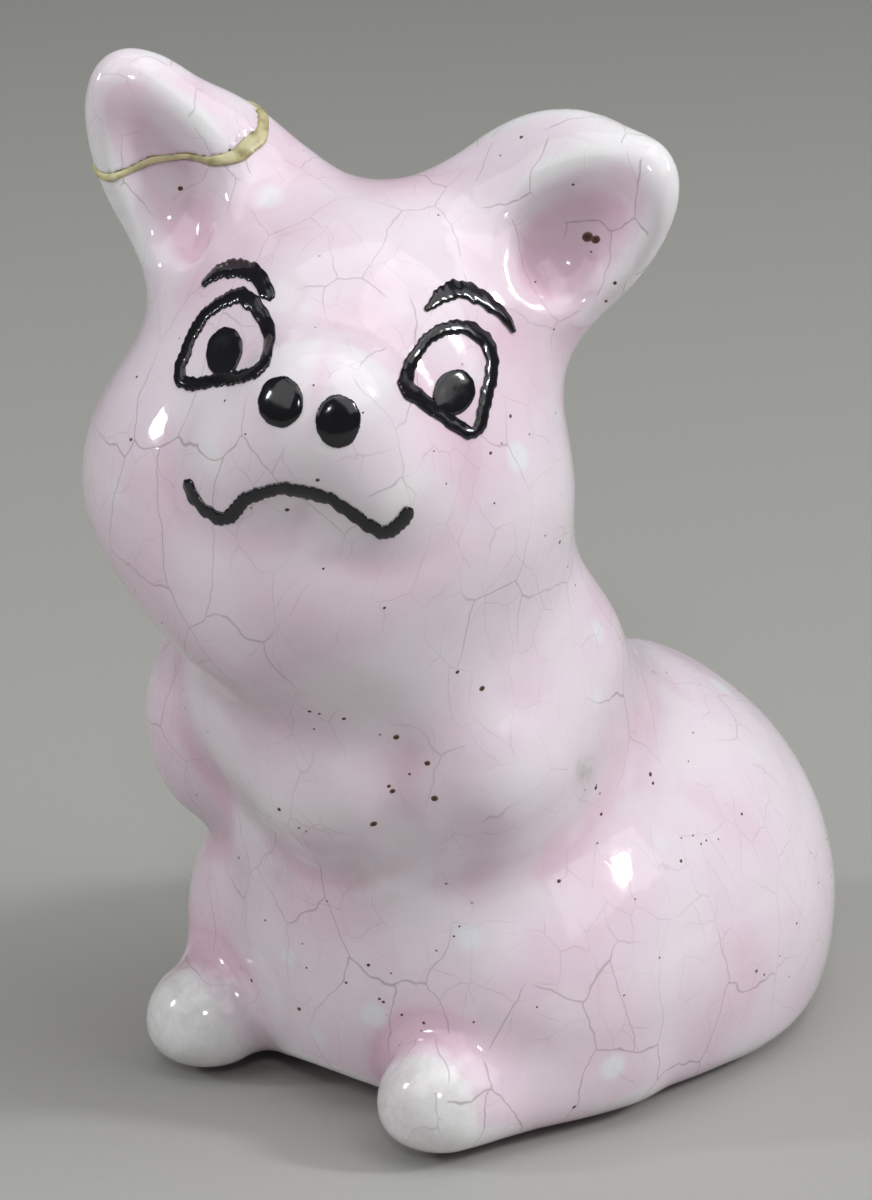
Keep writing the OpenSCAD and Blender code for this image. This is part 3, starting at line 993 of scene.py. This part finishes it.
def stroke_reach(q, path):
    """Across a brush line, 0 on its middle and 1 on its edge."""
    flat = q[:, [0, 2]]
    best = np.full(len(q), 1e9)
    for a, b in zip(path[:-1], path[1:]):
        along = b[:2] - a[:2]
        t = np.clip((flat - a[:2]) @ along / max(along @ along, 1e-9), 0, 1)
        away = np.sqrt(((flat - a[:2] - t[:, None] * along) ** 2).sum(1))
        half = WET_SPREAD * (a[2] + (b[2] - a[2]) * t) / 2
        best = np.minimum(best, away / half)
    x, z = flat.T
    ragged = np.sin(4.1 * x + 1.3 * z) + np.sin(3.3 * z - 2.7 * x + 1.1) + np.sin(8 * x + 6.5 * z)
    return best + 0.07 * ragged


def oval_reach(q, oval):
    x, z, width, height, lean = oval
    c, s = math.cos(math.radians(lean)), math.sin(math.radians(lean))
    u, v = q[:, 0] - x, q[:, 2] - z
    reach = np.sqrt(((u * c + v * s) / width) ** 2 + ((v * c - u * s) / height) ** 2) * 2
    ragged = np.sin(3.1 * q[:, 0] + 1.9 * q[:, 2]) + np.sin(4.7 * q[:, 2] - 2.9 * q[:, 0])
    return 0.95 * reach + 0.012 * ragged


class PIGBANK_OT_paint(bpy.types.Operator):
    """Makes the brushed enamel marks of the face"""

    bl_idname = "pigbank.paint"
    bl_label = "Painted face"

    def execute(self, context):
        look = context.scene.pig_paint
        pig = Pig(context.scene.pig_casting)
        enamel = once("brushed_black_enamel", brushed_enamel, look)
        height = look.height / MM
        for name in (*STROKES, *OVALS):
            if name in STROKES:
                path = smooth_path(*STROKES[name])
                outline = path[:, :2]
            else:
                path = None
                x, z, width, tall, _lean = OVALS[name]
                outline = np.array([(x - width / 2, z - tall / 2), (x + width / 2, z + tall / 2)])

            def bead(q, name=name, path=path):
                if path is None:
                    across = oval_reach(q, OVALS[name]) ** 2
                else:
                    across = stroke_reach(q, path)
                rise = pig.skin(pig.from_head(q)) / height
                return height * (np.sqrt(across**2 + rise**2) - 1)

            low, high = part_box(name)
            ends = np.array([low, high]) / MM
            corners = np.array([ends[list(c), range(3)] for c in np.ndindex(2, 2, 2)])
            deep = pig.in_head(corners)[:, 1]
            lowest = (outline[:, 0].min() - 1.2, deep.min() - 0.6, outline[:, 1].min() - 1.2)
            highest = (outline[:, 0].max() + 1.2, deep.max() + 0.6, outline[:, 1].max() + 1.2)
            points, quads = net_over(bead, lowest, highest, look.net / MM)
            mark = mesh_object(name + "_enamel", pig.from_head(points), quads, enamel)
            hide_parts(name)
            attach(mark, BANK)
        return {"FINISHED"}


# ---- Specks -----------------------------------------------------------------
# Places where iron specks gather: centre, reach and how thick they are
SPECK_PATCHES = [
    ((13, -22, 22), 7, 1.0), ((10, -24, 12), 5, 0.9), ((8, -32, 45), 4, 0.8),
    ((0, -26, 18), 9, 0.45), ((17, -22, 12), 4, 0.8), ((20, -8, 35), 7, 0.7), ((24, 6, 24), 12, 0.3),
]
# The larger rusty ones, each by its place and radius
LARGE_SPECKS = [
    ((13, -27, 43), 0.32), ((15.5, -25.5, 40.5), 0.3), ((16, -25, 37), 0.36), ((11, -28, 34), 0.36),
    ((12.5, -27, 37.5), 0.28), ((12, -27, 38), 0.2), ((18.5, -21, 47.5), 0.3), ((9.5, -38, 67), 0.24),
    ((10.5, -6, 96.5), 0.2), ((-16.5, -26, 94), 0.2), ((20.5, 2, 33), 0.26), ((25.5, 1, 25.5), 0.2),
    ((-1, -25.5, 11), 0.26), ((21.5, -13, 26.5), 0.22), ((15.5, -31.5, 57.5), 0.16),
    ((16.7, -3.8, 87.6), 0.6), ((17.4, -3.2, 87.4), 0.5), ((-16, -25, 91), 0.3),
    ((7.5, -33, 46), 0.2), ((10, -31, 45), 0.22),
]


def speck_scatter():
    """Geometry Nodes: specks over a surface where its speck_density says."""
    tree = bpy.data.node_groups.new("speck_scatter", "GeometryNodeTree")
    socket = tree.interface.new_socket
    socket("Geometry", in_out="INPUT", socket_type="NodeSocketGeometry")
    socket("Speck", in_out="INPUT", socket_type="NodeSocketObject")
    socket("Density", in_out="INPUT", socket_type="NodeSocketFloat")
    socket("Smallest", in_out="INPUT", socket_type="NodeSocketFloat")
    socket("Largest", in_out="INPUT", socket_type="NodeSocketFloat")
    socket("Seed", in_out="INPUT", socket_type="NodeSocketInt")
    socket("Material", in_out="INPUT", socket_type="NodeSocketMaterial")
    socket("Geometry", in_out="OUTPUT", socket_type="NodeSocketGeometry")
    given = add(tree, "NodeGroupInput").outputs
    thick = add(tree, "GeometryNodeInputNamedAttribute", {"Name": "speck_density"},
                data_type="FLOAT").outputs["Attribute"]
    density = add(tree, "ShaderNodeMath", {0: thick, 1: given["Density"]}, operation="MULTIPLY")
    spread = add(
        tree, "GeometryNodeDistributePointsOnFaces",
        {"Mesh": given["Geometry"], "Density": density.outputs[0], "Seed": given["Seed"]},
    )
    bias = add(tree, "FunctionNodeRandomValue", {"Seed": given["Seed"]}, data_type="FLOAT")
    cubed = add(tree, "ShaderNodeMath", {0: bias.outputs[1], 1: 3.0}, operation="POWER")
    size = add(
        tree, "ShaderNodeMapRange",
        {"Value": cubed.outputs[0], "To Min": given["Smallest"], "To Max": given["Largest"]},
    )
    speck = add(tree, "GeometryNodeObjectInfo", {"Object": given["Speck"]})
    placed = add(
        tree, "GeometryNodeInstanceOnPoints",
        {
            "Points": spread.outputs["Points"], "Instance": speck.outputs["Geometry"],
            "Rotation": spread.outputs["Rotation"], "Scale": size.outputs[0],
        },
    )
    real = add(tree, "GeometryNodeRealizeInstances", {"Geometry": placed.outputs[0]})
    dressed = add(
        tree, "GeometryNodeSetMaterial",
        {"Geometry": real.outputs[0], "Material": given["Material"]},
    )
    add(tree, "NodeGroupOutput", {"Geometry": dressed.outputs[0]})
    return tree


def speck_shape(sides=9):
    """One speck of radius 1: a pit with a low burst rim, a little out of round."""
    rings = ((0, 0.13, 0.0), (0.5, 0.15, 0.15), (0.82, 0.12, 0.6), (1.05, -0.1, 1.0))
    points, rims = [(0, 0, rings[0][1])], [rings[0][2]]
    for radius, height, rim in rings[1:]:
        for i in range(sides):
            a = 2 * math.pi * i / sides
            r = radius * (1 + 0.12 * math.sin(2 * a + 0.7))
            points.append((r * math.cos(a), r * math.sin(a), height))
            rims.append(rim)
    faces = [(0, 1 + i, 1 + (i + 1) % sides) for i in range(sides)]
    for ring in range(len(rings) - 2):
        for i in range(sides):
            a, b = 1 + ring * sides + i, 1 + ring * sides + (i + 1) % sides
            faces.append((a, a + sides, b + sides, b))
    outer = 1 + (len(rings) - 2) * sides
    points.append((0, 0, -0.4))
    rims.append(1.0)
    faces += [(len(points) - 1, outer + (i + 1) % sides, outer + i) for i in range(sides)]
    mesh = bpy.data.meshes.new("speck_shape")
    mesh.from_pydata(points, [], faces)
    mesh.shade_smooth()
    mark_points(mesh, "rim", rims)
    return bpy.data.objects.new("speck_shape", mesh)


class PIGBANK_OT_specks(bpy.types.Operator):
    """Scatters iron specks and pinholes over the glaze"""

    bl_idname = "pigbank.specks"
    bl_label = "Specks"

    def execute(self, context):
        look = context.scene.pig_specks
        pig = Pig(context.scene.pig_casting)
        shell = bpy.data.objects["shell"]
        bed = bpy.data.objects.new("speck_bed", shell.data.copy())
        context.scene.collection.objects.link(bed)
        points = np.empty(len(bed.data.vertices) * 3)
        bed.data.vertices.foreach_get("co", points)
        points = points.reshape(-1, 3) / MM
        thick = np.full(len(points), 0.07)
        for centre, reach, amount in SPECK_PATCHES:
            away = np.linalg.norm(points - centre, axis=1)
            thick = np.maximum(thick, amount * smooth_step(reach, 0.3 * reach, away))
        open_glaze = smooth_step(-0.4, -0.1, pig.skin(points)) * (points[:, 2] > 1.5)
        mark_points(bed.data, "speck_density", thick * open_glaze)

        tree = speck_scatter()
        scatter = bed.modifiers.new("specks", "NODES")
        scatter.node_group = tree
        shape = speck_shape()
        values = {
            "Speck": shape,
            "Density": look.density / 0.01**2,
            "Smallest": look.smallest,
            "Largest": look.largest,
            "Seed": look.seed,
            "Material": once("burnt_iron_speck", burnt_iron),
        }
        for item in tree.interface.items_tree:
            if item.in_out == "INPUT" and item.name in values:
                scatter[item.identifier] = values[item.name]
        graph = context.evaluated_depsgraph_get()
        mesh = bpy.data.meshes.new_from_object(bed.evaluated_get(graph))
        bpy.data.objects.remove(bed)

        # The larger ones join them, each dropped on the skin
        places = settle(pig.skin, np.array([p for p, _r in LARGE_SPECKS], float), 8)
        places = ripple(places, pig, context.scene.pig_casting.ripple / MM)
        lean, _bend = slope_of(pig.skin, places, 0.3)
        large = bpy.data.meshes.new("large_specks")
        body = [
            np.array([v.co for v in shape.data.vertices]),
            [list(f.vertices) for f in shape.data.polygons],
        ]
        rims = np.empty(len(body[0]))
        shape.data.attributes["rim"].data.foreach_get("value", rims)
        all_points, all_faces = [], []
        for place, up, (_p, radius) in zip(places, lean, LARGE_SPECKS):
            stand = np.array(Vector(up).to_track_quat("Z", "Y").to_matrix())
            base = len(all_points) * len(body[0])
            all_points.append(body[0] @ stand.T * radius + place)
            all_faces += [[base + i for i in f] for f in body[1]]
        large.from_pydata((np.concatenate(all_points) * MM).tolist(), [], all_faces)
        large.shade_smooth()
        mark_points(large, "rim", np.tile(rims, len(all_points)))
        large.materials.append(bpy.data.materials["burnt_iron_speck"])

        specks = bpy.data.objects.new("iron_specks", mesh)
        big = bpy.data.objects.new("rust_spots", large)
        for piece in (specks, big):
            context.scene.collection.objects.link(piece)
            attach(piece, BANK)
        bpy.data.objects.remove(shape)
        return {"FINISHED"}


# ---- Stopper ----------------------------------------------------------------
class PIGBANK_OT_stopper(bpy.types.Operator):
    """Makes the rubber stopper with its ribs and grip bar"""

    bl_idname = "pigbank.stopper"
    bl_label = "Stopper"

    def execute(self, context):
        low, high = (np.array(c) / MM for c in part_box("base_stopper"))
        middle = (low + high) / 2
        flange_r = (high[0] - low[0]) / 2
        flange_top = low[2] + 1.6
        plug_r = context.scene.pig_casting.base_hole / 2 / MM - 0.3

        def disc(out, z, radius, bottom, top, edge):
            """A round plate with rounded edges."""
            a = out - radius + edge
            b = np.abs(z - (bottom + top) / 2) - (top - bottom) / 2 + edge
            away = np.sqrt(np.maximum(a, 0) ** 2 + np.maximum(b, 0) ** 2)
            return away + np.minimum(np.maximum(a, b), 0) - edge

        def bung(p):
            q = p - middle
            z = p[:, 2]
            out = np.sqrt(q[:, 0] ** 2 + q[:, 1] ** 2)
            d = disc(out, z, flange_r, low[2], flange_top, 0.6)
            d = join(d, disc(out, z, plug_r, flange_top - 1, high[2], 1.4), 0.5)
            for rib in (2.8, 5.8):
                bead = np.sqrt((out - plug_r + 0.45) ** 2 + (z - flange_top - rib) ** 2) - 0.6
                d = join(d, bead, 0.3)
            pocket = np.maximum(disc(out, z, 11, low[2] - 4, low[2] + 5, 0.8), 2.6 - np.abs(q[:, 1]))
            return carve(d, pocket, 0.6)

        points, quads = net_over(bung, low - 1.2, high + 1.2, STOPPER_NET)
        stopper = mesh_object(
            "rubber_stopper", points, quads, once("moulded_grey_rubber", moulded_rubber)
        )
        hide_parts("base_stopper")
        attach(stopper, STOPPER)
        return {"FINISHED"}


# ---- Stage ------------------------------------------------------------------
# Softboxes: the angle round from the camera, the height angle and the distance,
# then the box's width and height, then its power in watts
LIGHTS = {
    "right_window": ((80, 32, 1.0), (0.11, 0.16), 3.6),
    "left_window": ((-84, 26, 1.0), (0.09, 0.14), 1.8),
    "front_window": ((-2, 34, 1.0), (0.10, 0.08), 1.1),
    "right_screen": ((66, 50, 1.2), (1.2, 1.2), 6.4),
    "left_screen": ((-58, 44, 1.2), (0.9, 0.9), 3.0),
    "ceiling": ((20, 82, 1.3), (1.1, 1.1), 4.4),
}
AIM = Vector((0.0123, -0.0205, 0.0548))


def look_back(azimuth, elevation):
    """The direction from the pig to something at two angles."""
    return Vector((
        math.sin(azimuth) * math.cos(elevation),
        -math.cos(azimuth) * math.cos(elevation),
        math.sin(elevation),
    ))


class PIGBANK_OT_stage(bpy.types.Operator):
    """Makes the floor, backdrop, softboxes and camera"""

    bl_idname = "pigbank.stage"
    bl_label = "Stage"

    def execute(self, context):
        look = context.scene.pig_studio
        rows, span, sweep, depth = 24, 3.0, 0.6, 1.1
        away = -look_back(look.azimuth, 0)
        side = Vector((-away.y, away.x, 0))
        profile = [(-span, 0), (depth, 0)]
        for i in range(1, rows + 1):
            a = math.pi / 2 * i / rows
            profile.append((depth + sweep * math.sin(a), sweep * (1 - math.cos(a))))
        profile.append((depth + sweep, span))
        points = [
            tuple(away * y + side * x + Vector((0, 0, z)))
            for y, z in profile
            for x in (-span, span)
        ]
        faces = [(2 * i, 2 * i + 1, 2 * i + 3, 2 * i + 2) for i in range(len(profile) - 1)]
        mesh = bpy.data.meshes.new("backdrop")
        mesh.from_pydata(points, [], faces)
        mesh.shade_smooth()
        mesh.materials.append(seamless_paper(look.floor))
        backdrop = bpy.data.objects.new("backdrop", mesh)
        context.scene.collection.objects.link(backdrop)

        for name, ((turn, rise, far), (wide, tall), power) in LIGHTS.items():
            lamp = bpy.data.lights.new(name, "AREA")
            lamp.shape = "RECTANGLE"
            lamp.size, lamp.size_y = wide, tall
            lamp.energy = power
            box = bpy.data.objects.new(name, lamp)
            back = look_back(look.azimuth + math.radians(turn), math.radians(rise))
            box.location = AIM + far * back
            box.rotation_euler = back.to_track_quat("Z", "Y").to_euler()
            context.scene.collection.objects.link(box)

        world = bpy.data.worlds.new("studio")
        world.use_nodes = True
        world.node_tree.nodes["Background"].inputs[0].default_value = (0.92, 0.94, 0.95, 1)
        world.node_tree.nodes["Background"].inputs[1].default_value = 0.12
        context.scene.world = world
        context.scene.view_settings.view_transform = "Standard"

        lens = bpy.data.cameras.new("camera")
        lens.lens = look.lens
        lens.sensor_width = 36
        lens.clip_start = 0.01
        camera = bpy.data.objects.new("camera", lens)
        back = look_back(look.azimuth, look.elevation)
        camera.location = AIM + look.distance * back
        camera.rotation_euler = back.to_track_quat("Z", "Y").to_euler()
        context.scene.collection.objects.link(camera)
        context.scene.camera = camera
        return {"FINISHED"}


# ---- Panel and registration -------------------------------------------------
OPERATORS = (
    PIGBANK_OT_shell,
    PIGBANK_OT_ear_fragment,
    PIGBANK_OT_glue,
    PIGBANK_OT_paint,
    PIGBANK_OT_specks,
    PIGBANK_OT_stopper,
    PIGBANK_OT_stage,
)
SETTINGS = {
    "pig_casting": CastingSettings,
    "pig_glaze": GlazeSettings,
    "pig_paint": PaintSettings,
    "pig_specks": SpeckSettings,
    "pig_studio": StudioSettings,
}


class PIGBANK_PT_panel(bpy.types.Panel):
    """Lists the pieces and their settings"""

    bl_label = "Pig Bank"
    bl_idname = "PIGBANK_PT_panel"
    bl_space_type = "VIEW_3D"
    bl_region_type = "UI"
    bl_category = "Pig Bank"

    def draw(self, context):
        for operator in OPERATORS:
            self.layout.operator(operator.bl_idname)
        for name, group in SETTINGS.items():
            box = self.layout.box()
            for key in group.__annotations__:
                box.prop(getattr(context.scene, name), key)


def register():
    for group in SETTINGS.values():
        bpy.utils.register_class(group)
    for name, group in SETTINGS.items():
        setattr(bpy.types.Scene, name, PointerProperty(type=group))
    for cls in (*OPERATORS, PIGBANK_PT_panel):
        bpy.utils.register_class(cls)


def unregister():
    for cls in (*OPERATORS, PIGBANK_PT_panel):
        bpy.utils.unregister_class(cls)
    for name, group in SETTINGS.items():
        delattr(bpy.types.Scene, name)
        bpy.utils.unregister_class(group)


def main():
    register()
    bpy.ops.pigbank.stage()
    bpy.ops.pigbank.shell()
    bpy.ops.pigbank.ear_fragment()
    bpy.ops.pigbank.glue()
    bpy.ops.pigbank.paint()
    bpy.ops.pigbank.specks()
    bpy.ops.pigbank.stopper()


if __name__ == "__main__":
    main()
